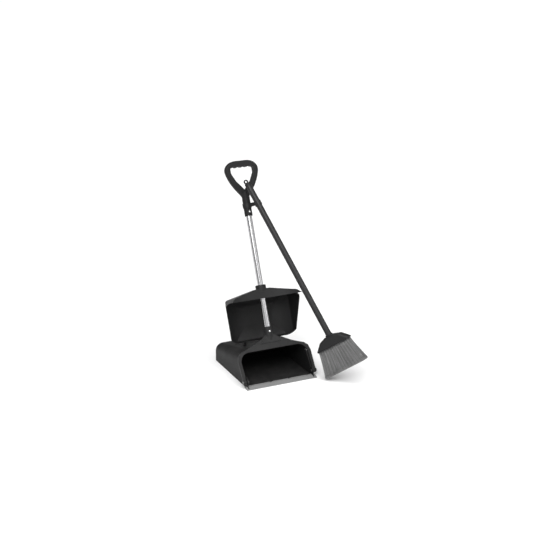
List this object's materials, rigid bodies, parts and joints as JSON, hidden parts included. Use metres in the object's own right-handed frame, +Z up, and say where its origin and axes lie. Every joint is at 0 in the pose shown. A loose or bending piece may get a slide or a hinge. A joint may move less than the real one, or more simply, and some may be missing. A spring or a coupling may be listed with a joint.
{
  "type": "dust pan and brush set",
  "caption": "Upright dust pan with a leaning pole, hand grip and parked cover, and a long broom held beside it on a clip.",
  "frame": {"origin": "on the floor under the middle of the hopper", "axes": "+X along the lip to the right, +Y from the mouth to the back, +Z up"},
  "size_m": [0.4673, 0.5632, 0.8055],
  "materials": {
    "hopper_shell": "moulded charcoal plastic",
    "lip_strip": "soft grey lip",
    "lip_rivets": "small rivets",
    "yoke_frame": "moulded charcoal plastic",
    "pivot_pins": "turned pins",
    "pole_tube": "bright plated tube",
    "pole_plug": "inner plug",
    "lower_snap_spring": "spring leaf",
    "upper_snap_spring": "spring leaf",
    "lower_button": "polished button",
    "upper_button": "polished button",
    "grip_handle": "moulded black grip",
    "broom_clip": "moulded black clip",
    "clip_screw": "cross-head screw",
    "cover_shell": "moulded charcoal plastic",
    "collar_bush": "sliding bush",
    "broom_tube": "black coated tube",
    "broom_end_cap": "moulded cap with eye",
    "broom_plug": "inner plug",
    "broom_head": "moulded black head",
    "broom_ferrule": "dark sleeve",
    "head_screws": "flush screws",
    "bristle_bed": "bristle block",
    "bristles_front": "grey synthetic bristle",
    "bristles_middle": "grey synthetic bristle",
    "bristles_back": "grey synthetic bristle"
  },
  "bodies": {
    "hopper": {"hopper_shell": "hopper_shell", "lip_strip": "lip_strip", "lip_rivets": "lip_rivets", "pivot_pins": "pivot_pins"},
    "frame": {"yoke_frame": "yoke_frame", "pole_tube": "pole_tube", "pole_plug": "pole_plug", "lower_snap_spring": "lower_snap_spring", "upper_snap_spring": "upper_snap_spring", "grip_handle": "grip_handle", "broom_clip": "broom_clip", "clip_screw": "clip_screw"},
    "lower_snap": {"lower_button": "lower_button"},
    "upper_snap": {"upper_button": "upper_button"},
    "collar": {"collar_bush": "collar_bush"},
    "cover": {"cover_shell": "cover_shell"},
    "broom": {"broom_tube": "broom_tube", "broom_end_cap": "broom_end_cap", "broom_plug": "broom_plug", "broom_ferrule": "broom_ferrule", "broom_head": "broom_head", "head_screws": "head_screws", "bristle_bed": "bristle_bed", "bristles_front": "bristles_front", "bristles_middle": "bristles_middle", "bristles_back": "bristles_back"}
  },
  "joints": [
    {"name": "frame_tilt", "type": "hinge", "parent": "hopper", "child": "frame", "pos_m": [0, -0.137, 0.024], "axis": [1, 0, 0], "range_deg": [0, 85]},
    {"name": "lower_press", "type": "slide", "parent": "frame", "child": "lower_snap", "axis": [0, 0.9219, -0.3875], "range_m": [0, 0.0025], "stiffness_N_per_m": 400, "springref_m": -0.001},
    {"name": "upper_press", "type": "slide", "parent": "frame", "child": "upper_snap", "axis": [0, 0.9219, -0.3875], "range_m": [0, 0.0025], "stiffness_N_per_m": 400, "springref_m": -0.001},
    {"name": "cover_slide", "type": "slide", "parent": "frame", "child": "collar", "axis": [0, 0.3875, 0.9219], "range_m": [0, 0.12]},
    {"name": "cover_swivel", "type": "hinge", "parent": "collar", "child": "cover", "pos_m": [0, -0.021, 0.191], "axis": [0, 0.3875, 0.9219], "range_deg": [0, 100]},
    {"name": "broom_pull", "type": "slide", "parent": "frame", "child": "broom", "axis": [0.3628, -0.7327, 0.5758], "range_m": [0, 0.15]}
  ]
}
